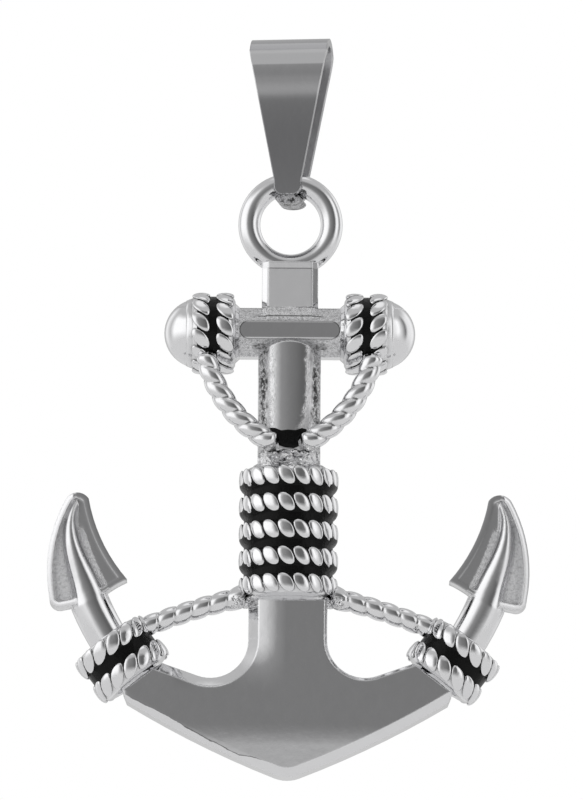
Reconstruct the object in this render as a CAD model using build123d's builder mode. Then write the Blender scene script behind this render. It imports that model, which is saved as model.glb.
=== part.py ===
from build123d import *
import os
from math import cos, radians, sin

os.makedirs("parts", exist_ok=True)

# Anchor pendant in polished steel: a folded bail, a cast anchor, twisted ropes lashed round it
# and black enamel in the grooves between the turns.
# Millimetres, +Z up, the front faces -Y. The origin is the highest point inside the bail's
# fold, where a chain carries the pendant.

# Clearances
gap = 0.05                  # between a rope and the metal or enamel beside it
ring_play = 0.12            # between the ring and the weld that it hangs on

# Bail
strip = 0.6                 # thickness of the strip
bail_width = 6.1            # across the fold
bail_tip_width = 2.1        # across the tips, under the ring
bail_depth = 4.7            # outside, from the front leg to the back leg
bail_eye = 1.45             # from the ring's bar to each leg
bail_tip = 1.14             # from the middle of the ring's bar down to the tips
bail_tip_round = 0.7        # corners of the tips
bail_straight = 1.2         # below the top, where the strip starts to taper
bail_turn = 8.0             # degrees that the bail is turned on the ring
weld_width = 2.0
weld_bite = 0.3             # how far the weld reaches into each leg
weld_drip = 0.64            # how far the weld hangs below the tips
weld_round = 0.13
ring_hang = 10.93           # from inside the fold to the middle of the ring's bar

# Ring and neck
ring_radius = 3.23          # to the middle of the bar
ring_bar = 1.72
neck_drop = 3.2             # from the ring's middle to the neck's top
neck_width = 4.4
neck_depth = 3.6
neck_bevel = 0.5

# Stock
stock_drop = 8.67           # from the ring's middle to the stock's middle
stock_height = 3.9
stock_depth = 4.1
stock_facet = 1.33          # height of the flat on its front
stock_edge = 1.4            # depth of its narrow top and bottom
stock_round = 0.22          # its long edges
stock_core = 1.4            # radius of the bar inside a lashing
dome_radius = 2.72
dome_reach = 9.82           # from the middle to the end of the dome

# Shank
shank_width = 4.9
shank_depth = 4.8
shank_face = 3.12           # width of the polished front
shank_crown = 0.28          # how far that front is domed
shank_slope = 1.2           # depth of the slopes beside it
shank_round = 0.45          # edges between the front, the slopes and the sides
shank_arch_drop = 0.95      # from the stock's middle to the top of the arch
shank_arch_rise = 1.1
core_radius = 1.65          # round core inside the shank's lashing

# Crown, with its levels measured down from the middle of the arms' lashings
crown_depth = 3.6
crown_neck = 6.15           # width below the shank's lashing
crown_drop = 9.5            # to the point, before it is rounded
crown_round = 2.7           # radius of the rounded point
crown_end = 0.38            # from a lashing's middle inward to the end of the lower edge
crown_end_drop = 3.45
crown_bow = 0.32            # how far the lower edge is bowed
crown_bevel = 0.64
hollow_bevel = {"left": 0.8, "right": 0.25}
hollow_drop = 2.76          # to where the hollow's floor would meet the shank's line
hollow_slope = 19.4         # degrees that this floor climbs
hollow_round = 2.95

# Arms: round bars bent to one arc
arm_radius = 20.33          # of the arc
arm_reach = 17.04           # from the middle to the arc's widest point
arm_drop = 22.12            # from the ring's middle to the arc's centre
arm_bar = 1.55              # radius of the bar
arm_root = 46.0             # degrees along the arc, down from its widest point
arm_fluke = 23.0            # degrees down to where the fluke starts

# Flukes
fluke_out = 1.78            # from the arm's widest point to the outer edge
fluke_width = 6.26
fluke_height = 9.02
fluke_heel = 0.44           # from the fluke's start on the arm down to its heel
fluke_depth = 2.2
fluke_rim = 0.42
fluke_channel = 0.45        # depth of the sunk channels
rib_tip_radius = 0.3
rib_depth_radius = 1.45

# Outline of a fluke, as shares of its width from the barb and its height from the heel
fluke_outline = {
    "tip": (0.61, 1.0),
    "outer_shoulder": (0.772, 0.943),
    "outer_side": (0.99, 0.443),
    "outer_heel": (0.965, 0.085),
    "heel": (0.93, 0.025),
    "heel_inside": (0.80, 0.0),
    "arm_outside": (0.66, 0.02),
    "notch": (0.265, 0.136),
    "barb_under": (0.14, 0.196),
    "barb": (0.0, 0.247),
    "inner_side": (0.347, 0.63),
    "inner_shoulder": (0.484, 0.948),
}

# Stations of the rib: share of the way up the fluke's arc, and shares of the bar's radius
rib_stations = [
    {"way": 0.0, "side": 1.0},
    {"way": 0.42, "side": 0.7},
    {"way": 0.8, "side": 0.36},
]
rib_tip = (0.62, 0.94)      # shares of the fluke's width and height

# Ropes
enamel_sink = 0.24          # how far the enamel lies below the top of the turns
sleeve_share = 0.4          # height of the metal between turns, as a share of the rope's radius

shank_turns = 5
shank_pitch = 2.11
shank_rope = 1.05           # radius of the rope
shank_outer = 3.9          # radius of the whole lashing
shank_lash_drop = 24.55     # from the ring's middle to the middle turn

stock_turns = 2
stock_pitch = 1.88
stock_rope = 0.92
stock_outer = 3.2
stock_lash_reach = 6.0      # from the middle to the lashing's middle

arm_turns = 2
arm_pitch = 2.3
arm_rope = 0.95
arm_outer = 3.32
arm_lash_angle = 37.3       # degrees along the arm's arc, down from its widest point

drape_radius = 0.86
drape_top = 6.57            # from the middle to a strand's upper end
drape_top_drop = 1.9        # from the stock's middle to that end
drape_top_depth = 2.5       # in front of the stock's middle
drape_end = 1.0             # from the middle to a strand's lower end
drape_end_drop = 9.25
drape_bow = 1.1             # how far each strand is bowed
drape_bed = 0.3             # how deep the lower end is set into the shank's front

stay_radius = 0.8
stay_start_in = 0.5        # inside the shank's lashing
stay_start_rise = 0.3      # above that lashing's lower end
stay_end_in = 0.93          # inward from the middle of the arm's lashing
stay_end_rise = 2.14
stay_bow = 0.2
stay_front = 0.5            # in front of the middle plane

patch_top_width = 3.3       # enamel between the lower ends of the drape
patch_low_width = 1.7
patch_top_drop = 8.0        # from the stock's middle
patch_low_drop = 9.35
patch_thick = 0.25

# Levels worked out from the sizes
ring_z = -(ring_hang + ring_radius)
stock_z = ring_z - stock_drop
shank_lash_z = ring_z - shank_lash_drop
shank_lash_half = (shank_turns - 1) / 2 * shank_pitch + shank_rope
lash_top_z = shank_lash_z + shank_lash_half
lash_low_z = shank_lash_z - shank_lash_half
stock_lash_half = (stock_turns - 1) / 2 * stock_pitch + stock_rope
stock_half = stock_lash_reach - stock_lash_half - gap
shank_front = -shank_depth / 2
arm_centre = (arm_reach - arm_radius, ring_z - arm_drop)


def on_arm(angle):
    """A point on the arm's arc, at an angle down from its widest point."""
    return (arm_centre[0] + arm_radius * cos(radians(angle)), arm_centre[1] - arm_radius * sin(radians(angle)))


arm_lash = on_arm(arm_lash_angle)
arm_along = (sin(radians(arm_lash_angle)), cos(radians(arm_lash_angle)))
arm_lash_half = (arm_turns - 1) / 2 * arm_pitch + arm_rope
fluke_reach = arm_reach + fluke_out
fluke_low = on_arm(arm_fluke)[1] - fluke_heel


# Bail

bail_side = Plane.YZ.rotated((0, 0, -bail_turn))
bail_front = Plane.XZ.rotated((0, 0, -bail_turn))
bail_foot = bail_eye + strip
bail_low = -(ring_hang + bail_tip)
bail_fold = strip - bail_depth / 2

with BuildPart() as bail_strip:
    # The folded strip from the side, drawn past its tips
    with BuildSketch(bail_side):
        with BuildLine():
            fold = ThreePointArc((-bail_depth / 2, bail_fold), (0, strip), (bail_depth / 2, bail_fold))
            Polyline(fold @ 1, (bail_foot, -ring_hang), (bail_foot, 2 * bail_low),
                     (-bail_foot, 2 * bail_low), (-bail_foot, -ring_hang), fold @ 0)
        make_face()
        offset(amount=-strip, mode=Mode.SUBTRACT)
    extrude(amount=bail_width, both=True)
    # Its taper and rounded tips from the front
    with BuildSketch(bail_front):
        with BuildLine():
            Polyline((-bail_width / 2, bail_depth), (bail_width / 2, bail_depth),
                     (bail_width / 2, strip - bail_straight), (bail_tip_width / 2, -ring_hang),
                     (bail_tip_width / 2, bail_low), (-bail_tip_width / 2, bail_low),
                     (-bail_tip_width / 2, -ring_hang), (-bail_width / 2, strip - bail_straight),
                     close=True)
        taper = make_face()
        fillet(taper.vertices().group_by(Axis.Y)[0], radius=bail_tip_round)
    extrude(amount=bail_depth, both=True, mode=Mode.INTERSECT)

# The weld between the tips, crowned to carry the ring
with BuildPart() as weld:
    weld_top = -(ring_hang + ring_bar / 2 + ring_play)
    weld_low = bail_low - weld_drip
    with BuildSketch(bail_front):
        with Locations((0, (weld_top + weld_low) / 2)):
            Ellipse(weld_width / 2, (weld_top - weld_low) / 2)
    extrude(amount=bail_eye + weld_bite, both=True)
    fillet(weld.edges().filter_by(GeomType.ELLIPSE), radius=weld_round)

with BuildPart() as bail:
    add(bail_strip.part)
    add(weld.part)

bail.part.label = "bail"
export_step(bail.part, "parts/bail.step")


# Shank above its lashing

shank_top = stock_z - shank_arch_drop


def shank_bar(grow=0):
    """The shank from its lashing up to the arch over the stock, or the room round it."""
    with BuildPart() as bar:
        with BuildSketch(Plane.XY.offset(lash_top_z + gap)) as section:
            with BuildLine():
                face = ThreePointArc((-shank_face / 2, shank_front), (0, shank_front - shank_crown),
                                     (shank_face / 2, shank_front))
                Polyline(face @ 1, (shank_width / 2, shank_front + shank_slope), (shank_width / 2, 0),
                         (-shank_width / 2, 0), (-shank_width / 2, shank_front + shank_slope), face @ 0)
            make_face()
            mirror(about=Plane.XZ)
            corners = section.vertices().filter_by(lambda v: abs(v.Y) > gap)
            fillet(corners, radius=shank_round)
            if grow > 0:
                offset(amount=grow, kind=Kind.INTERSECTION)
        extrude(amount=shank_top - lash_top_z - gap)
        # The arch over the stock's lower slope
        with BuildSketch(Plane.XZ):
            arch_foot = shank_top - shank_arch_rise
            with BuildLine():
                arch = ThreePointArc((-shank_width / 2, arch_foot), (0, shank_top), (shank_width / 2, arch_foot))
                Polyline(arch @ 1, (shank_width, lash_top_z), (-shank_width, lash_top_z), arch @ 0)
            make_face()
        extrude(amount=shank_depth, both=True, mode=Mode.INTERSECT)
    return bar


# Crown

hollow_climb = sin(radians(hollow_slope)) / cos(radians(hollow_slope))
hollow_low = arm_lash[1] - hollow_drop
crown_top = lash_low_z - gap
end_face = (arm_lash[0] - arm_along[0] * (arm_lash_half + 2 * gap),
            arm_lash[1] - arm_along[1] * (arm_lash_half + 2 * gap))


def on_end_face(across):
    """A point on the crown's end, beside the lashing, measured outward from the arm's middle."""
    return (end_face[0] + across * arm_along[1], end_face[1] - across * arm_along[0])


with BuildPart() as crown:
    with BuildSketch(Plane.XZ) as outline:
        with BuildLine():
            point = (0, arm_lash[1] - crown_drop)
            end = (arm_lash[0] - crown_end, arm_lash[1] - crown_end_drop)
            SagittaArc(point, end, -crown_bow)
            floor_start = (crown_neck / 2, hollow_low)
            floor_drop = end_face[1] - hollow_low - (end_face[0] - crown_neck / 2) * hollow_climb
            floor_end = on_end_face(floor_drop / (arm_along[0] + arm_along[1] * hollow_climb))
            Polyline(end, on_end_face(arm_bar), floor_end)
            hollow = FilletPolyline(floor_end, floor_start, (crown_neck / 2, crown_top),
                                    radius=hollow_round)
            Polyline(hollow @ 1, (0, crown_top), point)
        make_face()
        mirror(about=Plane.YZ)
        fillet(outline.vertices().group_by(Axis.Y)[0], radius=crown_round)
    extrude(amount=crown_depth / 2, both=True)
    arcs = crown.edges().filter_by(GeomType.CIRCLE)
    chamfer(arcs.filter_by(lambda e: e.radius > arm_radius or abs(e.radius - crown_round) < gap),
            length=crown_bevel)
    for side, name in ((-1, "left"), (1, "right")):
        arcs = crown.edges().filter_by(GeomType.CIRCLE)
        chamfer(arcs.filter_by(lambda e: abs(e.radius - hollow_round) < gap and side * e.center().X > 0),
                length=hollow_bevel[name])


# Fluke and arm on the right

def on_fluke(name):
    """A named point of the fluke's outline in the front plane."""
    across, up = fluke_outline[name]
    return (fluke_reach - fluke_width * (1 - across), fluke_low + fluke_height * up)


def across_arm(angle):
    """The plane square to the arm at that angle, with its first axis pointing outward."""
    x, z = on_arm(angle)
    return Plane(origin=(x, 0, z), x_dir=(cos(radians(angle)), 0, -sin(radians(angle))),
                 z_dir=(sin(radians(angle)), 0, cos(radians(angle))))


with BuildPart() as fluke:
    with BuildSketch(Plane.XZ) as plate:
        with BuildLine():
            ThreePointArc(on_fluke("inner_shoulder"), on_fluke("tip"), on_fluke("outer_shoulder"))
            ThreePointArc(on_fluke("outer_shoulder"), on_fluke("outer_side"), on_fluke("outer_heel"))
            ThreePointArc(on_fluke("outer_heel"), on_fluke("heel"), on_fluke("heel_inside"))
            Polyline(on_fluke("heel_inside"), on_fluke("arm_outside"), on_fluke("notch"))
            ThreePointArc(on_fluke("notch"), on_fluke("barb_under"), on_fluke("barb"))
            ThreePointArc(on_fluke("barb"), on_fluke("inner_side"), on_fluke("inner_shoulder"))
        make_face()
    extrude(amount=fluke_depth / 2, both=True)
    # Sunk channels inside the rim, front and back
    for face_y in (-fluke_depth / 2, fluke_depth / 2):
        with BuildSketch(Plane.XZ.offset(-face_y)):
            add(plate.sketch_local)
            offset(amount=-fluke_rim, kind=Kind.INTERSECTION, mode=Mode.REPLACE)
        extrude(amount=fluke_channel, both=True, mode=Mode.SUBTRACT)

with BuildPart() as rib:
    for station in rib_stations:
        angle = arm_fluke * (1 - station["way"])
        with BuildSketch(across_arm(angle)):
            Ellipse(arm_bar * station["side"], max(arm_bar * station["side"], rib_depth_radius))
    tip_x = fluke_reach - fluke_width * (1 - rib_tip[0])
    tip_z = fluke_low + fluke_height * rib_tip[1]
    with BuildSketch(Plane.XY.offset(tip_z)):
        with Locations((tip_x, 0)):
            Ellipse(rib_tip_radius, fluke_depth / 2)
    loft()

with BuildPart() as arm:
    with BuildSketch(across_arm(arm_root)):
        Circle(arm_bar)
    revolve(axis=Axis((arm_centre[0], 0, arm_centre[1]), (0, -1, 0)), revolution_arc=arm_root - arm_fluke)


# Anchor, one casting

with BuildPart() as anchor:
    with BuildSketch(Plane.XY.offset(ring_z)):
        with Locations((ring_radius, 0)):
            Circle(ring_bar / 2)
    revolve(axis=Axis((0, 0, ring_z), (0, 1, 0)))
    # Neck between ring and stock
    with BuildSketch(Plane.XY.offset(stock_z)) as neck:
        Rectangle(neck_width, neck_depth)
        chamfer(neck.vertices(), length=neck_bevel)
    extrude(amount=stock_drop - neck_drop)
    # Stock with a flat on its front and long slopes
    with BuildSketch(Plane.YZ) as bar:
        with Locations((0, stock_z)):
            Polygon((-stock_depth / 2, -stock_facet / 2), (-stock_edge / 2, -stock_height / 2),
                    (stock_edge / 2, -stock_height / 2), (stock_depth / 2, -stock_facet / 2),
                    (stock_depth / 2, stock_facet / 2), (stock_edge / 2, stock_height / 2),
                    (-stock_edge / 2, stock_height / 2), (-stock_depth / 2, stock_facet / 2))
        fillet(bar.vertices(), radius=stock_round)
    extrude(amount=stock_half, both=True)
    add(shank_bar().part)
    add(crown.part)
    # Core inside the shank's lashing
    with BuildSketch(Plane.XY.offset(crown_top - crown_bevel)):
        Circle(core_radius)
    extrude(amount=lash_top_z + 2 * crown_bevel - crown_top + gap)
    # Core and dome at each end of the stock
    dome_x = stock_lash_reach + stock_lash_half + gap
    dome_middle = dome_reach - dome_radius
    with BuildSketch(Plane.XZ.shift_origin((0, 0, stock_z))) as dome:
        with Locations((dome_middle, 0)):
            Circle(dome_radius)
        with Locations((dome_x / 2 - dome_radius, 0)):
            Rectangle(dome_x + 2 * dome_radius, 3 * dome_radius, mode=Mode.SUBTRACT)
        with Locations((dome_reach / 2, -dome_radius)):
            Rectangle(2 * dome_reach, 2 * dome_radius, mode=Mode.SUBTRACT)
        with Locations((dome_x / 2, stock_core / 2)):
            Rectangle(dome_x, stock_core)
        mirror(about=Plane.YZ)
    revolve(axis=Axis((0, 0, stock_z), (1, 0, 0)))
    for side in (arm.part, fluke.part, rib.part):
        add(side)
        mirror(side, about=Plane.YZ)

anchor.part.label = "anchor"
export_step(anchor.part, "parts/anchor.step")


# Rope lashings and the enamel in their grooves

def bar_section(centre, along):
    """The plane through a bar's axis, with its second axis running along the bar."""
    return Plane(origin=(centre[0], 0, centre[1]), x_dir=(along[1], 0, -along[0]), z_dir=(0, -1, 0))


def lashing(centre, along, turns, pitch, rope, outer, core):
    """Turns of rope side by side on a thin sleeve, a body of revolution about the bar."""
    middle = outer - rope
    half = (turns - 1) / 2 * pitch
    sleeve = middle + sleeve_share * rope
    with BuildPart() as wound:
        with BuildSketch(bar_section(centre, along)):
            with Locations((sleeve / 2, 0)):
                Rectangle(sleeve, 2 * half + rope)
            with Locations(*[(middle, turn * pitch - half) for turn in range(turns)]):
                Circle(rope)
            with Locations((core / 2, 0)):
                Rectangle(core, 2 * half + 3 * rope, mode=Mode.SUBTRACT)
        revolve(axis=Axis((centre[0], 0, centre[1]), (along[0], 0, along[1])))
    return wound


def clearance(centre, along, turns, pitch, rope, outer):
    """The room that a lashing and its enamel take, for a rope that ends against them."""
    half = (turns - 1) / 2 * pitch
    with BuildPart() as room:
        with BuildSketch(bar_section(centre, along)):
            with Locations(((outer - enamel_sink + gap) / 2, 0)):
                Rectangle(outer - enamel_sink + gap, 2 * half)
            with Locations(((outer - rope) / 2, 0)):
                Rectangle(outer - rope, 2 * (half + rope + gap))
            with Locations(*[(outer - rope, turn * pitch - half) for turn in range(turns)]):
                Circle(rope + gap)
        revolve(axis=Axis((centre[0], 0, centre[1]), (along[0], 0, along[1])))
    return room


def groove_fill(centre, along, pitch, rope, outer):
    """A ring of enamel in the groove between two turns."""
    middle = outer - rope
    low = middle + sleeve_share * rope + gap
    high = outer - enamel_sink
    with BuildPart() as fill:
        with BuildSketch(bar_section(centre, along)):
            with Locations(((low + high) / 2, 0)):
                Rectangle(high - low, pitch)
            with Locations((middle, -pitch / 2), (middle, pitch / 2)):
                Circle(rope + gap, mode=Mode.SUBTRACT)
        revolve(axis=Axis((centre[0], 0, centre[1]), (along[0], 0, along[1])))
    return fill


up = (0, 1)
shank_middle = (0, shank_lash_z)
shank_lashing = lashing(shank_middle, up, shank_turns, shank_pitch, shank_rope, shank_outer,
                        core_radius + gap)
shank_lashing.part.label = "shank_lashing"
export_step(shank_lashing.part, "parts/shank_lashing.step")

for groove in range(shank_turns - 1):
    level = shank_lash_z + ((shank_turns - 2) / 2 - groove) * shank_pitch
    shank_enamel = groove_fill((0, level), up, shank_pitch, shank_rope, shank_outer)
    shank_enamel.part.label = f"shank_enamel_{groove + 1}"
    export_step(shank_enamel.part, f"parts/shank_enamel_{groove + 1}.step")

# The bore of an arm's lashing clears the bar's bend as well
arm_bore = arm_bar + arm_lash_half ** 2 / (2 * arm_radius) + gap

for side, name in ((-1, "left"), (1, "right")):
    stock_middle = (side * stock_lash_reach, stock_z)
    stock_lashing = lashing(stock_middle, (1, 0), stock_turns, stock_pitch, stock_rope, stock_outer,
                            stock_core + gap)
    stock_lashing.part.label = f"stock_lashing_{name}"
    export_step(stock_lashing.part, f"parts/stock_lashing_{name}.step")

    stock_enamel = groove_fill(stock_middle, (1, 0), stock_pitch, stock_rope, stock_outer)
    stock_enamel.part.label = f"stock_enamel_{name}"
    export_step(stock_enamel.part, f"parts/stock_enamel_{name}.step")

    arm_middle = (side * arm_lash[0], arm_lash[1])
    arm_way = (side * arm_along[0], arm_along[1])
    arm_lashing = lashing(arm_middle, arm_way, arm_turns, arm_pitch, arm_rope, arm_outer, arm_bore)
    arm_lashing.part.label = f"arm_lashing_{name}"
    export_step(arm_lashing.part, f"parts/arm_lashing_{name}.step")

    arm_enamel = groove_fill(arm_middle, arm_way, arm_pitch, arm_rope, arm_outer)
    arm_enamel.part.label = f"arm_enamel_{name}"
    export_step(arm_enamel.part, f"parts/arm_enamel_{name}.step")


# Rope from the shank's lowest turn to each arm

lash_room = clearance(shank_middle, up, shank_turns, shank_pitch, shank_rope, shank_outer)

for side, name in ((-1, "left"), (1, "right")):
    arm_middle = (side * arm_lash[0], arm_lash[1])
    arm_way = (side * arm_along[0], arm_along[1])
    arm_room = clearance(arm_middle, arm_way, arm_turns, arm_pitch, arm_rope, arm_outer)
    with BuildPart() as arm_stay:
        with BuildLine(Plane.XZ.offset(stay_front)) as route:
            start = (side * (shank_outer - stay_start_in), lash_low_z + stay_start_rise)
            end = (side * (arm_lash[0] - stay_end_in), arm_lash[1] + stay_end_rise)
            SagittaArc(start, end, -side * stay_bow)
        with BuildSketch(Plane(origin=route.line @ 0, z_dir=route.line % 0)):
            Circle(stay_radius)
        sweep()
        add(lash_room.part, mode=Mode.SUBTRACT)
        add(arm_room.part, mode=Mode.SUBTRACT)
    arm_stay.part.label = f"arm_stay_{name}"
    export_step(arm_stay.part, f"parts/arm_stay_{name}.step")


# Drape, two strands from the outer turns of the stock to the shank's front

drape_end_depth = drape_radius - shank_front + shank_crown - drape_bed
drape_fall = Vector(0, drape_top_depth - drape_end_depth, drape_top_drop - drape_end_drop)
drape_plane = Plane(origin=(0, -drape_top_depth, stock_z - drape_top_drop), x_dir=(1, 0, 0),
                    z_dir=drape_fall.cross(Vector(1, 0, 0)))
shank_room = shank_bar(grow=gap)


def drape_strand(side, radius):
    """A strand of the drape on one side, as a plain bent bar."""
    with BuildPart() as strand:
        with BuildLine(drape_plane) as route:
            SagittaArc((side * drape_top, 0), (side * drape_end, -drape_fall.length), side * drape_bow)
        with BuildSketch(Plane(origin=route.line @ 0, z_dir=route.line % 0)):
            Circle(radius)
        sweep()
    return strand


for side, name in ((-1, "left"), (1, "right")):
    stock_middle = (side * stock_lash_reach, stock_z)
    stock_room = clearance(stock_middle, (1, 0), stock_turns, stock_pitch, stock_rope, stock_outer)
    with BuildPart() as drape_rope:
        add(drape_strand(side, drape_radius).part)
        add(stock_room.part, mode=Mode.SUBTRACT)
        add(shank_room.part, mode=Mode.SUBTRACT)
    drape_rope.part.label = f"drape_rope_{name}"
    export_step(drape_rope.part, f"parts/drape_rope_{name}.step")


# Enamel patch on the shank, between the two strands

with BuildPart() as drape_enamel:
    with BuildSketch(Plane.XZ.offset(-shank_front)):
        with Locations((0, stock_z)):
            Polygon((-patch_top_width / 2, -patch_top_drop), (-patch_low_width / 2, -patch_low_drop),
                    (patch_low_width / 2, -patch_low_drop), (patch_top_width / 2, -patch_top_drop), align=None)
    extrude(amount=shank_crown + patch_thick)
    add(shank_room.part, mode=Mode.SUBTRACT)
    for side in (-1, 1):
        add(drape_strand(side, drape_radius + gap).part, mode=Mode.SUBTRACT)

drape_enamel.part.label = "drape_enamel"
export_step(drape_enamel.part, "parts/drape_enamel.step")
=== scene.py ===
import math
from typing import NamedTuple

import bmesh
import bpy
import numpy as np
from mathutils import Matrix, Vector


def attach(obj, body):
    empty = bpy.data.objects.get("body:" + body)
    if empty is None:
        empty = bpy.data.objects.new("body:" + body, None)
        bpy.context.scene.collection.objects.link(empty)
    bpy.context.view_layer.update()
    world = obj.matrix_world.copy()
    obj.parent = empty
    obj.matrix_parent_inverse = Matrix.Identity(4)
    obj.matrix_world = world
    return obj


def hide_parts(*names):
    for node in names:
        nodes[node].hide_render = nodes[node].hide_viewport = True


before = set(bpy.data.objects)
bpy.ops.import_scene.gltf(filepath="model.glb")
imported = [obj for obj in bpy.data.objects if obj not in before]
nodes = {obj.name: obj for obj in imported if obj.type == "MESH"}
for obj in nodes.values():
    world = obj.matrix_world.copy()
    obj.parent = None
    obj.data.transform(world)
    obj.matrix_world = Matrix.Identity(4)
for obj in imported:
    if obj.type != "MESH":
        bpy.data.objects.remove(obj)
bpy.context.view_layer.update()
MM = 0.001
FRONT = np.array((0.0, -1.0, 0.0))


# Sizes and places of the ropes, in millimetres, as in the part

STOCK_Z = -22.83
STOCK_LASH = 6.0
SHANK_Z = -38.71
ARM_LASH = (12.882, -48.600)
# The right arm's way through its lashing, and the middle of the arc that the arm and its fluke follow
ARM_ALONG = (0.606, 0.7955)
ARM_CENTRE = (-3.29, -36.28)


class Lashing(NamedTuple):
    """Turns of rope round a bar, and the enamel between them, in millimetres and degrees."""
    radius: float       # of the ring along the middle of a turn
    rope: float         # radius of the rope
    pitch: float        # from turn to turn
    first: tuple        # where each turn's first strand lies, as an angle from the front
    strands: int        # on each turn
    slant: float        # of the strands
    long: float         # half the length of a strand
    wide: float         # half its width
    sink: float         # how far the enamel stays below the tops of the turns
    low: float          # radius that the enamel goes down to
    over: float = 0.0   # how far it runs out past the last turns


SHANK_LASHING = Lashing(2.85, 1.05, 2.11, (-2.6,) * 5, 19, 29, 1.10, 0.59, sink=0.42, low=2.2)
STOCK_LASHING = Lashing(2.28, 0.92, 1.88, (-2.0, -9.0), 14, 41, 1.20, 0.57, sink=0.30, low=1.8, over=0.3)
ARM_LASHING = Lashing(2.37, 0.95, 2.30, (0.0, 0.0), 15, 37, 1.34, 0.61, sink=0.36, low=2.0, over=0.1)

# A strand where it shows: shares of the way out from its middle, and how far it has dropped there
PAD = [(0.35, 0.004), (0.62, 0.012), (0.80, 0.03), (0.90, 0.06), (0.97, 0.12), (1.0, 0.24)]
PAD_SIDES = 18
# Radius of the core under the strands as a share of the rope's, and how far they bend round it
CORE = 0.90
FOLLOW = 0.62

# The ropes that run free, on the right: their ends, how their middle stands off the line between the ends,
# radius, way from strand to strand, number of strands, length of the rounded ends, and flare at the start
STAY_ENDS = ((3.3, -0.5, -43.66), (12.0, -0.5, -46.48))
STAY_BULGE = (0.06, 0.0, 0.19)
STAY_ROPE = dict(rope=0.82, spacing=1.42, strands=1, taper=0.3, flare=0.3)
DRAPE_ENDS = ((6.57, -2.5, -24.73), (1.0, -3.24, -32.08))
DRAPE_SAG = 1.1
DRAPE_ROPE = dict(rope=0.86, spacing=1.37, strands=2, taper=0.6, flare=0.0)
# Radius in the groove between two strands as a share of the rope's, and how sharp the groove is
GROOVE = 0.72
GROOVE_EDGE = 0.42
# Radius at the very ends as a share of the rope's, and the way in which the flare fades
BLUNT = 0.06
FLARE_WAY = 0.8

# Beads of metal where these ropes run into the casting, on the right: middle and half-sizes
STAY_BEADS = [((3.3, -0.25, -44.1), (0.62, 0.85, 0.48)), ((3.75, -0.5, -43.7), (0.62, 0.7, 0.6))]
DRAPE_BEADS = [((1.25, -2.55, -32.62), (0.48, 0.34, 0.27)), ((0.42, -2.6, -32.5), (0.42, 0.28, 0.17))]

# Faces of the bars that the lashings end on: shares towards the front and the side, distance from the axis
SHANK_FACES = [(1, 0, 2.60), (0.596, 0.803, 2.683), (0, 1, 2.45)]
CROWN_FACES = [(1, 0, 1.8), (0.707, 0.707, 3.1), (0, 1, 3.07)]
STOCK_FACES = [(1, 0, 2.05), (0.689, 0.724, 1.894), (0, 1, 1.95)]
# Ripples of the metal on the bars: height, how many go round the bar, and phase
RIPPLES = [(0.035, 9, 0.0), (0.030, 17, 1.0)]
# How far the collars of the shank's lashing reach from its middle, below and above
SHANK_FOOT = 5.32
SHANK_HEAD = 5.40


def shank_collar(foot):
    """Points of such a collar: whether they hug the bar, how far out they are, and how far along."""
    return [(False, 1.6, 4.5), (False, 1.6, foot), (True, 0.0, foot), (True, 0.07, foot - 0.04),
            (True, 0.22, foot - 0.12), (False, 3.25, 4.98), (False, 3.45, 4.6)]


# Collars of the stock's lashings, along the stock from its middle: the inner one has points of the same kind,
# and the outer one's tell how far they are from the axis and how far along
STOCK_INNER = [(False, 1.4, 4.85), (False, 1.4, 3.93), (True, 0.0, 3.93), (True, 0.10, 4.02),
               (True, 0.25, 4.2), (False, 2.65, 4.45), (False, 2.88, 4.8)]
STOCK_OUTER = [(1.5, 7.0), (3.0, 7.1), (2.87, 7.35), (2.76, 7.6), (2.66, 7.87), (2.56, 8.1), (1.5, 8.1)]

# The enamel's film on the turns: its radius as a share of the rope's, and where the bar's sides begin, as the
# sine of the angle from the front, and over how much of it
FILM = 0.925
SIDE_FROM, SIDE_OVER = 0.5, 0.35
# It can hang on the sides below a turn's middle, from so far and over so far, and slips down by this share
HANG_FROM, HANG_OVER = 0.22, 0.3
HANG_SLIP = 0.22
# On the sides of the shank's lashing it is thinner above a turn's middle and thicker below it, as shares of
# the rope's radius
SHANK_BARE = 0.06
SHANK_SWELL = 0.10

# The enamel between the drape's ends, which has run into the seams of its strands: outline in x and z,
# thickness, how deep it goes, and its face at the sides, with its rise in the middle and half its width
RUN = [(-1.72, -30.80), (-1.52, -30.64), (-1.10, -30.66), (-0.63, -30.86), (-0.08, -30.80), (0.54, -30.84),
       (1.01, -30.66), (1.36, -30.74), (1.40, -31.05), (0.92, -31.40), (0.72, -31.72), (0.78, -32.10),
       (0.35, -32.27), (-0.32, -32.21), (-0.79, -32.05), (-0.88, -31.72), (-1.10, -31.42), (-1.55, -31.28)]
RUN_THICK = 0.16
RUN_LOW = -1.9
RUN_FACE, RUN_RISE, RUN_HALF = -2.4, 0.28, 1.56


# Mesh helpers

def add_mesh(name, verts, faces, material, slot, body="anchor"):
    """A smooth mesh piece in the row frame, from points in millimetres."""
    mesh = bpy.data.meshes.new(name)
    mesh.from_pydata([tuple(float(c) * MM for c in v) for v in verts], [], faces)
    shell = bmesh.new()
    shell.from_mesh(mesh)
    bmesh.ops.recalc_face_normals(shell, faces=shell.faces)
    shell.to_mesh(mesh)
    shell.free()
    mesh.polygons.foreach_set("use_smooth", [True] * len(mesh.polygons))
    mesh.materials.append(material)
    piece = bpy.data.objects.new(name, mesh)
    bpy.context.scene.collection.objects.link(piece)
    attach(piece, body)
    return piece


def unit(v):
    v = np.asarray(v, float)
    return v / np.linalg.norm(v, axis=-1, keepdims=True)


def mirrored(side, point):
    """A point of the right side, or its mirror image on the left where side is -1."""
    return (side * point[0], *point[1:])


def round_angles(count):
    return np.linspace(0, 2 * math.pi, count, endpoint=False)


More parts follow.
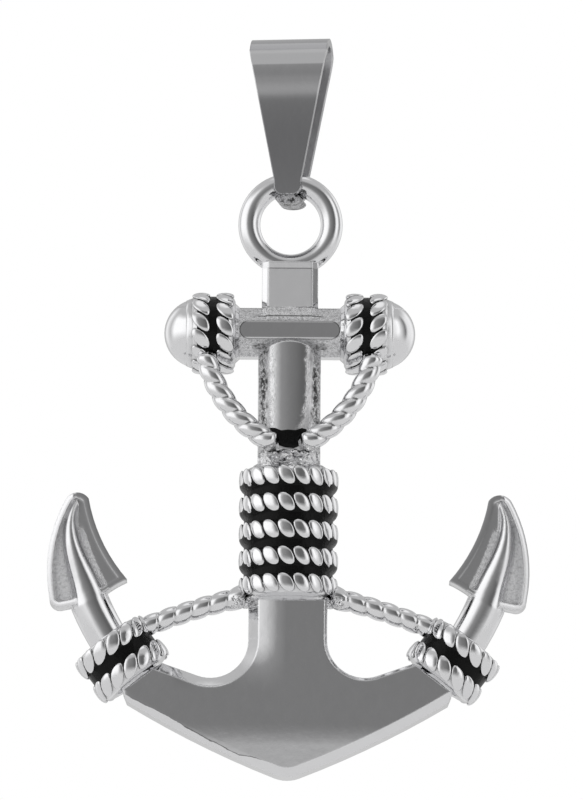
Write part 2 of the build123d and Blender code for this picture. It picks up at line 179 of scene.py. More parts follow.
def spokes(axis, angle):
    """The directions across axis at these angles from the front."""
    return np.cos(angle)[:, None] * FRONT + np.sin(angle)[:, None] * np.cross(axis, FRONT)


def tube(rows, sides, start=0):
    """The faces between rows of points that each go round a ring."""
    faces = []
    for row in range(rows - 1):
        here, there = start + row * sides, start + (row + 1) * sides
        for k in range(sides):
            n = (k + 1) % sides
            faces.append((here + k, here + n, there + n, there + k))
    return faces


def fan(tip, start, sides):
    """The triangles between a tip and a ring of points."""
    return [(tip, start + (k + 1) % sides, start + k) for k in range(sides)]


def disc(start, sides):
    """One face over a ring of points."""
    return [tuple(range(start, start + sides))]


def join(parts):
    """Several (verts, faces) pairs as one."""
    verts, faces, start = [], [], 0
    for v, f in parts:
        verts.append(np.asarray(v, float))
        faces += [tuple(start + i for i in face) for face in f]
        start += len(v)
    return np.concatenate(verts), faces


def revolve(centre, axis, profile, count=72):
    """A closed band about axis: a loop of (distance from it, way along it), or such a loop for each angle."""
    axis = unit(axis)
    outward = spokes(axis, round_angles(count))
    profile = np.asarray(profile, float)
    if profile.ndim == 2:
        profile = profile[None]
    verts = np.asarray(centre) + outward[:, None, :] * profile[:, :, :1] + axis * profile[:, :, 1:]
    size = profile.shape[1]
    faces = []
    for i in range(count):
        j = (i + 1) % count
        for k in range(size):
            n = (k + 1) % size
            faces.append((i * size + k, j * size + k, j * size + n, i * size + n))
    return verts.reshape(-1, 3), faces


def lip(centre, axis, faces, profile, side, count=72):
    """Metal run over the joint of a lashing and its bar: a point that hugs counts from the bar's faces."""
    loops = []
    for angle in round_angles(count):
        ahead, beside = abs(math.cos(angle)), abs(math.sin(angle))
        bar = min(distance / max(ahead * a + beside * b, 1e-6) for a, b, distance in faces)
        bar += sum(height * math.sin(waves * angle + phase) for height, waves, phase in RIPPLES)
        loops.append([(out + (bar if hugs else 0), side * way) for hugs, out, way in profile])
    return revolve(centre, axis, np.array(loops), count)


def bead(centre, size):
    """A rounded bead of metal with half-sizes along x, y and z."""
    rows, sides = 9, 16
    rise = np.linspace(-0.5 * math.pi, 0.5 * math.pi, rows + 2)[1:-1]
    turn = round_angles(sides)
    rings = np.stack((np.outer(np.cos(rise), np.cos(turn)), np.outer(np.cos(rise), np.sin(turn)),
                      np.outer(np.sin(rise), np.ones(sides))), axis=2).reshape(-1, 3)
    verts = np.concatenate((rings, [(0, 0, -1), (0, 0, 1)])) * size + centre
    lowest, highest = len(rings), len(rings) + 1
    return verts, tube(rows, sides) + fan(lowest, 0, sides) + fan(highest, (rows - 1) * sides, sides)


def puddle(outline, surface, thick, low):
    """A flat drop with rounded edges: outline in x and z, surface gives its y, and it reaches down to low."""
    outline = np.asarray(outline, float)
    count = len(outline)
    middle = outline.mean(axis=0)
    rings = []
    # Each ring's size as a share of the outline's, and how much of the thickness it has lost
    for share, sunk in ((1.0, None), (1.0, 0.8), (0.96, 0.3), (0.85, 0.06), (0.6, 0.0)):
        ring = middle + (outline - middle) * share
        height = [low if sunk is None else surface(x) - thick * (1 - sunk) for x in ring[:, 0]]
        rings.append(np.stack((ring[:, 0], height, ring[:, 1]), axis=1))
    verts = np.concatenate(rings + [[(middle[0], surface(middle[0]) - thick, middle[1])]])
    last = (len(rings) - 1) * count
    return verts, disc(0, count) + tube(len(rings), count) + fan(last + count, last, count)


# Twisted ropes

def ring_rope(centre, axis, lashing, first, lay):
    """One turn of a lashing: a round core, and strands on it that slant to the side that lay says."""
    axis = unit(axis)
    radius, rope = lashing.radius, lashing.rope
    slant = math.radians(lashing.slant)
    lean, rise = lay * math.sin(slant), math.cos(slant)
    turn = round_angles(PAD_SIDES)
    share, drop = np.array(PAD).T
    along = np.concatenate(([0.0], (share[:, None] * lashing.long * np.cos(turn)).ravel()))
    beside = np.concatenate(([0.0], (share[:, None] * lashing.wide * np.sin(turn)).ravel()))
    height = rope - np.concatenate(([0.0], np.repeat(drop, PAD_SIDES)))
    tilt = (along * rise + beside * lean) / rope
    out = (radius + height * np.cos(FOLLOW * tilt))[:, None]
    way = (height * np.sin(tilt))[:, None]
    rim = 1 + (len(PAD) - 1) * PAD_SIDES
    faces = fan(0, 1, PAD_SIDES) + tube(len(PAD), PAD_SIDES, 1) + disc(rim, PAD_SIDES)
    core = round_angles(20)
    core = np.stack((radius + CORE * rope * np.cos(core), CORE * rope * np.sin(core)), axis=1)
    parts = [revolve(centre, axis, core)]
    for strand in range(lashing.strands):
        middle = math.radians(first) + 2 * math.pi * strand / lashing.strands
        angle = middle + (beside * rise - along * lean) / (radius + rope)
        parts.append((np.asarray(centre) + spokes(axis, angle) * out + axis * way, faces))
    return parts


def wind(centre, axis, lashing, lay=1):
    """All turns of a lashing, along axis or, where lay is -1, against it."""
    parts = []
    for turn, first in enumerate(lashing.first):
        shift = lay * (turn - (len(lashing.first) - 1) / 2) * lashing.pitch
        parts += ring_rope(np.asarray(centre) + np.asarray(axis) * shift, axis, lashing, first, lay)
    return parts


def arc_points(start, end, bulge, count=60):
    """Points of the arc from start to end whose middle stands off the chord by the vector bulge."""
    start, end, bulge = (np.asarray(p, float) for p in (start, end, bulge))
    half = np.linalg.norm(end - start) / 2
    rise = np.linalg.norm(bulge)
    radius = (half ** 2 + rise ** 2) / (2 * rise)
    out = bulge / rise
    along = unit(end - start)
    middle = (start + end) / 2 + bulge - out * radius
    span = math.asin(min(1.0, half / radius))
    angle = np.linspace(-span, span, count)
    return middle + np.sin(angle)[:, None] * along * radius + np.cos(angle)[:, None] * out * radius


def open_rope(points, lay, rope, spacing, strands, taper, flare):
    """A rope that follows points: a bar with a twisted groove between its strands, and rounded ends."""
    points = np.asarray(points, float)
    length = np.concatenate(([0], np.cumsum(np.linalg.norm(np.diff(points, axis=0), axis=1))))
    rows, sides = int(length[-1] / spacing * 14), 28
    way = np.linspace(0, length[-1], rows)
    line = np.stack([np.interp(way, length, points[:, i]) for i in range(3)], axis=1)
    ahead = unit(np.gradient(line, axis=0))
    outward = unit(FRONT - ahead * np.sum(FRONT * ahead, axis=1, keepdims=True))
    across = np.cross(outward, ahead)
    ends = np.clip(np.minimum(way, length[-1] - way) / taper, 0, 1)
    swell = np.sqrt(1 - (1 - ends) ** 2) * (1 - BLUNT) + BLUNT
    swell = swell * (1 + flare * np.exp(-way / FLARE_WAY))
    turn = round_angles(sides)
    groove = lay * 2 * math.pi * way / (spacing * strands)
    bulge = np.abs(np.sin(strands / 2 * (turn[None, :] - groove[:, None]))) ** GROOVE_EDGE
    radius = rope * swell[:, None] * (GROOVE + (1 - GROOVE) * bulge)
    verts = (line[:, None, :] + (np.cos(turn) * radius)[:, :, None] * outward[:, None, :]
             + (np.sin(turn) * radius)[:, :, None] * across[:, None, :]).reshape(-1, 3)
    return verts, tube(rows, sides) + disc(0, sides) + disc((rows - 1) * sides, sides)


def enamel_band(centre, axis, lashing, bare=0.0, swell=0.0, count=96):
    """The enamel in a lashing's grooves and on its turns: bare and swell change it on the bar's sides."""
    radius, rope, pitch = lashing.radius, lashing.rope, lashing.pitch
    turns = len(lashing.first)
    half = (turns - 1) / 2 * pitch
    ways = np.linspace(-half - lashing.over, half + lashing.over, 28 * turns)
    offsets = ways[:, None] - (np.arange(turns) * pitch - half)
    nearest = offsets[np.arange(len(ways)), np.argmin(np.abs(offsets), axis=1)]
    between = np.abs(ways) < half
    hangs = np.clip((-nearest - HANG_FROM) / HANG_OVER, 0, 1)
    loops = []
    for angle in round_angles(count):
        side = min(max((abs(math.sin(angle)) - SIDE_FROM) / SIDE_OVER, 0), 1)
        cover = rope * (FILM + swell * side * hangs - bare * side * (nearest > 0))
        lean = np.arcsin(np.clip(nearest / cover, -1, 1)) * (1 - HANG_SLIP * side * hangs * (swell > 0))
        height = radius + cover * np.cos(lean)
        height = np.where(between, np.maximum(height, radius + rope - lashing.sink), height)
        under = [(lashing.low, ways[-1]), (lashing.low, ways[0])]
        loops.append(np.concatenate((np.stack((height, ways), axis=1), under)))
    return revolve(centre, axis, np.array(loops), count)


# Nodes for the materials: each takes and gives sockets, and plain numbers where a socket isn't needed

class Spot(NamedTuple):
    """The place on the object in millimetres, as a vector and in its parts."""
    where: object
    x: object
    y: object
    z: object


class Coat(NamedTuple):
    """A metal shader and what its finish is drawn from: broad and fine noise."""
    material: object
    tree: object
    shader: object
    spot: Spot
    soft: object
    fine: object


def principled(name):
    material = bpy.data.materials.new(name)
    material.use_nodes = True
    tree = material.node_tree
    return material, tree, tree.nodes["Principled BSDF"]


def feed(tree, socket, value):
    """Sets a socket to a number, or links it."""
    if isinstance(value, (int, float)):
        socket.default_value = value
    else:
        tree.links.new(value, socket)


def math_node(tree, operation, a, b=0.0):
    node = tree.nodes.new("ShaderNodeMath")
    node.operation = operation
    feed(tree, node.inputs[0], a)
    feed(tree, node.inputs[1], b)
    return node.outputs[0]


def plus(tree, a, b):
    return math_node(tree, "ADD", a, b)


def minus(tree, a, b):
    return math_node(tree, "SUBTRACT", a, b)


def times(tree, a, b):
    return math_node(tree, "MULTIPLY", a, b)


def clip(tree, value, low, high):
    return math_node(tree, "MAXIMUM", math_node(tree, "MINIMUM", value, high), low)


def hypotenuse(tree, a, b):
    squares = (math_node(tree, "POWER", a, 2.0), math_node(tree, "POWER", b, 2.0))
    return math_node(tree, "SQRT", plus(tree, *squares))


def either(tree, *masks):
    result = masks[0]
    for mask in masks[1:]:
        result = math_node(tree, "MAXIMUM", result, mask)
    return result


def both(tree, *masks):
    result = masks[0]
    for mask in masks[1:]:
        result = times(tree, result, mask)
    return result


def weigh(tree, masks, shares, total=0.0):
    """The sum of the masks, each times its share, added to total."""
    for mask, share in zip(masks, shares):
        total = plus(tree, total, times(tree, mask, share))
    return total


def ramp(tree, value, low, high, to_low, to_high, shape="LINEAR"):
    node = tree.nodes.new("ShaderNodeMapRange")
    node.interpolation_type = shape
    for key, number in (("From Min", low), ("From Max", high), ("To Min", to_low), ("To Max", to_high)):
        node.inputs[key].default_value = number
    tree.links.new(value, node.inputs["Value"])
    return node.outputs[0]


def over(tree, value, limit, soft):
    """1 where value is over limit, with a soft edge."""
    return ramp(tree, value, limit - soft, limit + soft, 0.0, 1.0, "SMOOTHSTEP")


def under(tree, value, limit, soft):
    """1 where value is under limit, with a soft edge."""
    return ramp(tree, value, limit - soft, limit + soft, 1.0, 0.0, "SMOOTHSTEP")


def band(tree, value, low, high, soft):
    """1 where value lies between low and high, with soft edges."""
    return times(tree, over(tree, value, low, soft), under(tree, value, high, soft))


def position(tree):
    coord = tree.nodes.new("ShaderNodeTexCoord")
    scale = tree.nodes.new("ShaderNodeVectorMath")
    scale.operation = "SCALE"
    scale.inputs["Scale"].default_value = 1 / MM
    tree.links.new(coord.outputs["Object"], scale.inputs[0])
    split = tree.nodes.new("ShaderNodeSeparateXYZ")
    tree.links.new(scale.outputs[0], split.inputs[0])
    return Spot(scale.outputs[0], *split.outputs)


def direction(tree, **parts):
    """A vector from its X, Y and Z, with 0 for one that isn't given."""
    node = tree.nodes.new("ShaderNodeCombineXYZ")
    for axis, value in parts.items():
        tree.links.new(value, node.inputs[axis])
    return node.outputs[0]


def dot(tree, vector, way):
    """How far a vector goes a constant way."""
    node = tree.nodes.new("ShaderNodeVectorMath")
    node.operation = "DOT_PRODUCT"
    node.inputs[1].default_value = way
    tree.links.new(vector, node.inputs[0])
    return node.outputs["Value"]


def noise(tree, vector, scale, detail=3.0, rough=0.55):
    node = tree.nodes.new("ShaderNodeTexNoise")
    node.inputs["Scale"].default_value = scale
    node.inputs["Detail"].default_value = detail
    node.inputs["Roughness"].default_value = rough
    tree.links.new(vector, node.inputs["Vector"])
    return node.outputs["Fac"]


def grey(value):
    return (value, value, value)


def steel_grey(value):
    """The grey of steel, which has a trace of blue."""
    return (value, value, value + 0.01)


def mix(tree, factor, first, second):
    """The first colour where factor is 0 and the second where it is 1: each is a constant or a socket."""
    node = tree.nodes.new("ShaderNodeMix")
    node.data_type = "RGBA"
    tree.links.new(factor, node.inputs["Factor"])
    for key, colour in (("A", first), ("B", second)):
        if isinstance(colour, tuple):
            node.inputs[key].default_value = (*colour, 1)
        else:
            tree.links.new(colour, node.inputs[key])
    return node.outputs["Result"]


def bump(tree, height, distance, strength, normal=None):
    node = tree.nodes.new("ShaderNodeBump")
    node.inputs["Distance"].default_value = distance * MM
    feed(tree, node.inputs["Strength"], strength)
    tree.links.new(height, node.inputs["Height"])
    if normal is not None:
        tree.links.new(normal, node.inputs["Normal"])
    return node.outputs["Normal"]


def soft_edges(tree, radius):
    """A normal that is rounded along the sharp edges, as polishing leaves them, by a radius in metres."""
    node = tree.nodes.new("ShaderNodeBevel")
    node.samples = 6
    feed(tree, node.inputs["Radius"], radius)
    return node.outputs["Normal"]


def lean_to(tree, normal, way, amount):
    """The normal tilted towards a direction that is given in the object's own frame."""
    turn = tree.nodes.new("ShaderNodeVectorTransform")
    turn.vector_type = "NORMAL"
    turn.convert_from, turn.convert_to = "OBJECT", "WORLD"
    tree.links.new(way, turn.inputs[0])
    scale = tree.nodes.new("ShaderNodeVectorMath")
    scale.operation = "SCALE"
    tree.links.new(turn.outputs[0], scale.inputs[0])
    tree.links.new(amount, scale.inputs["Scale"])
    total = tree.nodes.new("ShaderNodeVectorMath")
    tree.links.new(normal, total.inputs[0])
    tree.links.new(scale.outputs[0], total.inputs[1])
    even = tree.nodes.new("ShaderNodeVectorMath")
    even.operation = "NORMALIZE"
    tree.links.new(total.outputs[0], even.inputs[0])
    return even.outputs[0]


def steel(name):
    """A metal shader with the noise that its finish is drawn from."""
    material, tree, shader = principled(name)
    shader.inputs["Metallic"].default_value = 1.0
    spot = position(tree)
    soft, fine = noise(tree, spot.where, 0.9), noise(tree, spot.where, 14.0, 4.0)
    return Coat(material, tree, shader, spot, soft, fine)


def paint(coat, base, rough, normal):
    """Gives the metal its colour, roughness and normal, and hands over the material."""
    tree, shader = coat.tree, coat.shader
    tree.links.new(base, shader.inputs["Base Color"])
    tree.links.new(rough, shader.inputs["Roughness"])
    tree.links.new(normal, shader.inputs["Normal"])
    return coat.material


# The casting: its areas are masks, told by the place on it in millimetres

class Cast(NamedTuple):
    """The casting's node tree, the place on it, and noise that makes lines ragged."""
    tree: object
    where: object
    x: object
    y: object
    z: object
    reach: object           # distance from the middle, left or right
    depth: object           # distance from the middle, front or back
    above_stock: object     # height above the stock's axis
    knobs: object


# Shares of the six skins: the stock's slopes, the stock beside its outer collars, the shank's slopes, the
# flukes' sunk strips, the shank's foot, and the edges of the shank's front
SKIN_DARK = (0.32, 0.20, 0.60, 0.22, 0.28, 0.18)
SKIN_ROUGH = (0.20, 0.10, 0.06, 0.36, 0.00, 0.26)
SKIN_GRAIN = (0.35, 0.50, 1.00, 0.40, 0.15, 0.35)
SKIN_KNOBS = (0.00, 0.25, 0.30, 0.00, 0.25, 0.10)
SKIN_LUMPS = (0.00, 0.20, 0.35, 0.00, 1.00, 0.00)

# Noise on the casting: scale per millimetre, detail and roughness
GRAIN = (4.5, 5.0, 0.65)
KNOBS = (1.6, 3.0, 0.6)
LUMPS = (1.25, 1.0, 0.4)
BLOTS = (3.4, 4.0, 0.65)

# The flat on the stock's front: half its length between its round ends, and its half-height
FLAT_HALF = 3.2
FLAT_HIGH = 0.70
# The neck, and the dark lines at its ends: heights above the stock's axis
NECK = (1.9, 4.9)
NECK_LOW_LINE = (1.12, 1.20)
NECK_HIGH_LINE = (4.90, 4.97)
# The shank between the stock and its foot, the foot, and the zones of soot: heights
SHANK = (-32.6, -23.9)
SHANK_END = (-33.6, -32.4)
SOOT = (-31.5, -25.2)
SOOT_DENSE = (-28.6, -26.4)
# Where the shank's front gets narrower on the right: height from which it does, how fast, and how far
CREEP_FROM, CREEP_RATE, CREEP_MOST = -28.6, 0.30, 0.75
# The flukes: distance from the middle and heights, and how deep their sunk strips and outer rims lie
FLUKE_FROM = 11.8
FLUKE = (-44.9, -30.0)
FLUKE_SUNK = (0.5, 0.85)
FLUKE_RIM = (1.03, 1.2)
# The inner strip's distance from the arc's middle, which changes with the height, and the outer strip's
INNER_STRIP = (18.3, 19.0)
INNER_DRIFT, INNER_HEIGHT = 0.175, 44.2
OUTER_STRIP = (20.85, 23.0)
# The lower edge of the crown's face: its slope, and how far below the origin its point is
CROWN_SLOPE = 0.5115
CROWN_POINT = 57.645
# How far the front's polish runs past that edge, the dark line there, and the stretch along x where it shows
CROWN_WORN = 0.38
CROWN_LINE = (0.35, 0.42)
CROWN_STRETCH = (-12.4, -1.6)


def stock_areas(cast):
    """The slopes round the stock's flat, the skin beside its outer collars, and a line round the flat."""
    tree, reach, depth = cast.tree, cast.reach, cast.depth
    off_axis = math_node(tree, "ABSOLUTE", cast.above_stock)
    past = math_node(tree, "MAXIMUM", minus(tree, reach, FLAT_HALF), 0.0)
    from_flat = hypotenuse(tree, past, off_axis)
    on_stock = both(tree, under(tree, off_axis, 1.93, 0.03), under(tree, reach, 4.3, 0.05),
                    under(tree, depth, 2.2, 0.05))
    slopes = both(tree, on_stock, over(tree, from_flat, FLAT_HIGH + 0.02, 0.04))
    collars = both(tree, under(tree, off_axis, 3.0, 0.1), band(tree, reach, 7.5, 7.85, 0.25))
    line = both(tree, band(tree, from_flat, FLAT_HIGH - 0.04, FLAT_HIGH + 0.04, 0.03), on_stock,
                over(tree, depth, 1.5, 0.1))
    return slopes, collars, line


def neck_areas(cast):
    """The neck's brushed front, which is also darkened as painted shade, and the thin dark lines below and
    above it.
    """
    tree, reach, depth, height = cast.tree, cast.reach, cast.depth, cast.above_stock
    brushed_and_shaded = both(tree, band(tree, height, *NECK, 0.1), under(tree, reach, 1.95, 0.1),
                   band(tree, depth, 1.7, 2.0, 0.03))
    outer = over(tree, depth, 1.0, 0.1)
    low_line = both(tree, band(tree, height, *NECK_LOW_LINE, 0.04), under(tree, reach, 2.5, 0.2), outer)
    high_line = both(tree, band(tree, height, *NECK_HIGH_LINE, 0.03), under(tree, reach, 1.75, 0.15), outer)
    return brushed_and_shaded, low_line, high_line


def shank_areas(cast):
    """The shank's slopes, the soot on them, its foot above the lashing, and the ragged edges of its front."""
    tree, z, reach, depth = cast.tree, cast.z, cast.reach, cast.depth
    ragged = plus(tree, reach, ramp(tree, cast.knobs, 0.3, 0.7, -0.2, 0.2))
    on_shank = both(tree, band(tree, z, *SHANK, 0.15), band(tree, depth, 1.25, 3.0, 0.05))
    slopes = both(tree, band(tree, ragged, 1.8, 2.8, 0.18), on_shank)
    blots = noise(tree, cast.where, *BLOTS)
    blots = plus(tree, blots, times(tree, band(tree, z, *SOOT_DENSE, 0.6), 0.06))
    soot = both(tree, band(tree, ragged, 1.85, 2.2, 0.2), ramp(tree, blots, 0.46, 0.55, 0.0, 1.2), on_shank,
                band(tree, z, *SOOT, 1.0))
    foot = both(tree, band(tree, z, *SHANK_END, 0.2), under(tree, reach, 2.6, 0.1))
    # The front's edges creep inwards low down on the right
    creep = clip(tree, times(tree, minus(tree, CREEP_FROM, z), CREEP_RATE), 0.0, CREEP_MOST)
    creep = both(tree, creep, over(tree, cast.x, 0.0, 0.3))
    verge = both(tree, band(tree, plus(tree, ragged, creep), 1.34, 2.4, 0.40), on_shank,
                 band(tree, depth, 2.1, 3.0, 0.1))
    return slopes, soot, foot, verge


def fluke_areas(cast):
    """The flukes, their sunk strips, outer rims, outer beds and inner rims, and the way outwards on them."""
    tree, z, depth = cast.tree, cast.z, cast.depth
    right = minus(tree, cast.reach, ARM_CENTRE[0])
    up = minus(tree, z, ARM_CENTRE[1])
    bend = hypotenuse(tree, right, up)
    drift = minus(tree, bend, times(tree, plus(tree, z, INNER_HEIGHT), INNER_DRIFT))
    flukes = both(tree, over(tree, cast.reach, FLUKE_FROM, 0.1), band(tree, z, *FLUKE, 0.2))
    # The strips lie on both sides of the rib
    sunk = band(tree, depth, *FLUKE_SUNK, 0.05)
    inner = both(tree, band(tree, drift, *INNER_STRIP, 0.18), under(tree, z, -38.4, 0.7))
    strips = both(tree, either(tree, inner, band(tree, bend, *OUTER_STRIP, 0.12)), sunk,
                  over(tree, cast.reach, 12.0, 0.1), band(tree, z, -45.2, -37.3, 0.6))
    outer = ramp(tree, plus(tree, bend, times(tree, z, 0.066)), 17.70, 17.80, 0.0, 1.0)
    rims = both(tree, flukes, outer, band(tree, depth, *FLUKE_RIM, 0.03))
    beds = both(tree, flukes, outer, sunk)
    inner_rims = both(tree, flukes, under(tree, drift, 18.35, 0.08), band(tree, depth, 0.5, 1.3, 0.03))
    across = times(tree, math_node(tree, "SIGN", cast.x), math_node(tree, "DIVIDE", right, bend))
    outwards = direction(tree, X=across, Z=math_node(tree, "DIVIDE", up, bend))
    return flukes, strips, rims, beds, inner_rims, outwards


def crown_edge(cast):
    """The front's polish that runs over the crown's lower left edge, and the ragged line that it ends at."""
    tree, x = cast.tree, cast.x
    past_edge = minus(tree, times(tree, cast.reach, CROWN_SLOPE), plus(tree, cast.z, CROWN_POINT))
    uneven = plus(tree, past_edge, ramp(tree, cast.knobs, 0.3, 0.7, -0.05, 0.05))
    uneven = weigh(tree, (band(tree, x, -8.4, -3.5, 0.7), over(tree, x, -2.7, 1.3)), (-0.13, 0.44), uneven)
    by_edge = both(tree, under(tree, cast.z, -50.0, 0.1), band(tree, x, *CROWN_STRETCH, 0.4),
                   under(tree, cast.y, 0.0, 0.1), band(tree, past_edge, -0.3, 5.0, 0.05))
    polish = both(tree, by_edge, under(tree, uneven, CROWN_WORN, 0.03))
    line = both(tree, by_edge, band(tree, uneven, *CROWN_LINE, 0.03), band(tree, x, -8.2, -2.2, 0.5))
    return polish, line


def cast_relief(cast):
    """The height in millimetres of gentle slopes that the solids leave out."""
    tree, x, z, reach = cast.tree, cast.x, cast.z, cast.reach
    # The crown's face falls away towards its left edge below the shank
    side_way, side_fall = 4.2, 0.36
    left = clip(tree, minus(tree, -0.1, x), 0.0, side_way)
    curve = minus(tree, math_node(tree, "COSINE", times(tree, left, math.pi / side_way)), 1.0)
    side = both(tree, over(tree, z, -49.3, 2.2), under(tree, z, -44.0, 0.05), under(tree, reach, 8.0, 1.0),
                times(tree, curve, side_fall))
    # It falls away towards its point too, first in a bend and then straight on
    bend_way, bend_fall = 2.0, 0.029
    down = math_node(tree, "MAXIMUM", minus(tree, -53.5, z), 0.0)
    bent = math_node(tree, "POWER", math_node(tree, "MINIMUM", down, bend_way), 2.0)
    straight = math_node(tree, "MAXIMUM", minus(tree, down, bend_way), 0.0)
    point = weigh(tree, (bent, straight), (-bend_fall, -2 * bend_way * bend_fall))
    # The neck's front leans a little to the left, and flares towards the ring
    neck = both(tree, band(tree, cast.above_stock, 1.85, 5.55, 0.05),
                times(tree, clip(tree, x, -1.75, 1.75), 0.17))
    flare = clip(tree, minus(tree, cast.above_stock, 4.95), 0.0, 0.8)
    flare = both(tree, over(tree, cast.depth, 1.3, 0.1), under(tree, reach, 2.3, 0.1),
                 times(tree, flare, 0.14))
    return plus(tree, plus(tree, side, point), plus(tree, neck, flare))


def cast_steel():
    """Polished casting whose slopes and sunk strips keep a sandy skin."""
    coat = steel("cast_steel_skin")
    tree, (where, x, y, z) = coat.tree, coat.spot
    grain, knobs, lumps = (noise(tree, where, *kind) for kind in (GRAIN, KNOBS, LUMPS))
    reach, depth = math_node(tree, "ABSOLUTE", x), math_node(tree, "ABSOLUTE", y)
    cast = Cast(tree, where, x, y, z, reach, depth, minus(tree, z, STOCK_Z), knobs)
    stock_slopes, collars, flat_line = stock_areas(cast)
    brushed_and_shaded, low_line, high_line = neck_areas(cast)
    shank_slopes, soot, foot, verge = shank_areas(cast)
    flukes, strips, rims, beds, inner_rims, outwards = fluke_areas(cast)
    crown_polish, crown_line = crown_edge(cast)
    skins = (stock_slopes, collars, shank_slopes, strips, foot, verge)

    # Edges are rounder on the flukes and along the shank's front
    shank_edges = both(tree, band(tree, reach, 0.8, 2.2, 0.1), band(tree, z, -32.6, -25.6, 0.3))
    rounding = weigh(tree, (flukes, shank_edges), (0.14, 0.28), 0.18)
    normal = soft_edges(tree, times(tree, rounding, MM))
    # The flukes' outer rims and beds lean outwards, and their inner rims run smoothly into their beds
    normal = lean_to(tree, normal, outwards, weigh(tree, (rims, beds), (0.50, 0.16)))
    forwards = direction(tree, Y=math_node(tree, "SIGN", y))
    normal = lean_to(tree, normal, forwards, weigh(tree, (crown_polish, inner_rims), (30.0, 4.0)))
    normal = bump(tree, cast_relief(cast), 1.0, 1.0, normal)
    normal = bump(tree, coat.soft, 0.02, 0.5, normal)
    normal = bump(tree, grain, 0.45, weigh(tree, skins, SKIN_GRAIN), normal)
    normal = bump(tree, knobs, 1.6, weigh(tree, skins, SKIN_KNOBS), normal)
    normal = bump(tree, lumps, 1.4, weigh(tree, skins, SKIN_LUMPS), normal)

    dots = ramp(tree, grain, 0.40, 0.52, 1.0, 0.0)
    # Darker: the sandy skins' dots, the soot, and the neck's front as painted shade
    dark = either(tree, both(tree, weigh(tree, skins, SKIN_DARK), dots), soot, times(tree, brushed_and_shaded, 0.14))
    lines = either(tree, times(tree, flat_line, 0.7), low_line, times(tree, high_line, 0.7),
                   times(tree, crown_line, 0.8))
    base = mix(tree, coat.soft, steel_grey(0.74), steel_grey(0.79))
    base = mix(tree, lines, mix(tree, dark, base, grey(0.03)), grey(0.10))
    rough = plus(tree, ramp(tree, coat.fine, 0.3, 0.7, 0.05, 0.10), weigh(tree, skins, SKIN_ROUGH))
    # The neck's front is rougher from its brushing
    rough = plus(tree, rough, times(tree, brushed_and_shaded, 0.30))
    return paint(coat, base, rough, normal)


# The other materials

# The direction from the bail's back leg to its front leg
BAIL_ACROSS = (-0.139, -0.990, 0.0)
# The reflection painted down its outside in lighter and darker bands, from the top down: shares of the height
# that it goes over, and shares of the full tone
BAIL_HEIGHT = 12.0
BAIL_PAINTED_BANDS = [(0.0, 0.33), (0.018, 0.04), (0.04, 0.04), (0.058, 0.74), (0.08, 0.60), (0.165, 0.60),
             (0.20, 0.53), (0.25, 0.72), (0.31, 0.70), (0.36, 0.40), (0.42, 0.17), (1.0, 0.15)]
# The even tone painted on its inner faces as their shade, as a share of the full tone
BAIL_INSIDE_PAINTED_TONE = 0.53
# Heights from which its weld goes down, and at which its legs are uneven below the fold
BAIL_WELD = -12.0
BAIL_STEPS = (-1.5, -3.75)
# Heights between which the ropes run into the casting: at the stays, and at the drape and the shank's collar
STAY_JOINT = (-44.7, -43.75)
DRAPE_JOINT = (-33.75, -32.3)
# How near the next strand has to be for a seam to get painted shade
SEAM_SHADE_REACH = 0.7


def bail_steel():
    """The folded strip: reflections painted down its legs in lighter and darker bands, and duller faces
    inside with an even painted tone.
    """
    coat = steel("bail_polish_painted_reflection")
    tree, z = coat.tree, coat.spot.z
    # Painted reflection: the tone goes lighter and darker in bands down its height
    curve = tree.nodes.new("ShaderNodeFloatCurve")
    points = curve.mapping.curves[0].points
    for share, painted_tone in BAIL_PAINTED_BANDS[1:-1]:
        points.new(share, painted_tone)
    for point, (share, painted_tone) in zip(points, BAIL_PAINTED_BANDS):
        point.location = (share, painted_tone)
    curve.mapping.update()
    tree.links.new(ramp(tree, z, 0.0, -BAIL_HEIGHT, 0.0, 1.0), curve.inputs["Value"])
    coord = tree.nodes.new("ShaderNodeTexCoord")
    facing = dot(tree, coord.outputs["Normal"], BAIL_ACROSS)
    outwards = times(tree, facing, dot(tree, coat.spot.where, BAIL_ACROSS))
    inside = ramp(tree, outwards, -0.1, -0.6, 0.0, 1.0)
    outside = minus(tree, 1.0, inside)
    # The painted reflection bands outside, and the even painted tone inside
    painted_tone = plus(tree, times(tree, curve.outputs[0], outside), times(tree, inside, BAIL_INSIDE_PAINTED_TONE))
    # The weld and the tips beside it are rough and stained
    weld = under(tree, z, BAIL_WELD, 0.05)
    knobs = noise(tree, coat.spot.where, 1.7, 3.0, 0.6)
    stain = both(tree, weld, ramp(tree, knobs, 0.42, 0.52, 1.0, 0.0))
    base = mix(tree, stain, mix(tree, painted_tone, steel_grey(0.34), steel_grey(0.86)), grey(0.06))
    rough = plus(tree, ramp(tree, coat.fine, 0.3, 0.7, 0.05, 0.09), times(tree, inside, 0.30))
    # Its legs are a little uneven below the fold
    steps = (under(tree, z, BAIL_STEPS[0], 0.6), over(tree, z, BAIL_STEPS[1], 0.85))
    steps = weigh(tree, steps, (0.24, 0.075))
    normal = bump(tree, both(tree, steps, outside), 1.0, 1.0, soft_edges(tree, 0.13 * MM))
    normal = bump(tree, coat.soft, 0.01, 0.5, normal)
    return paint(coat, base, rough, bump(tree, knobs, 0.6, weld, normal))


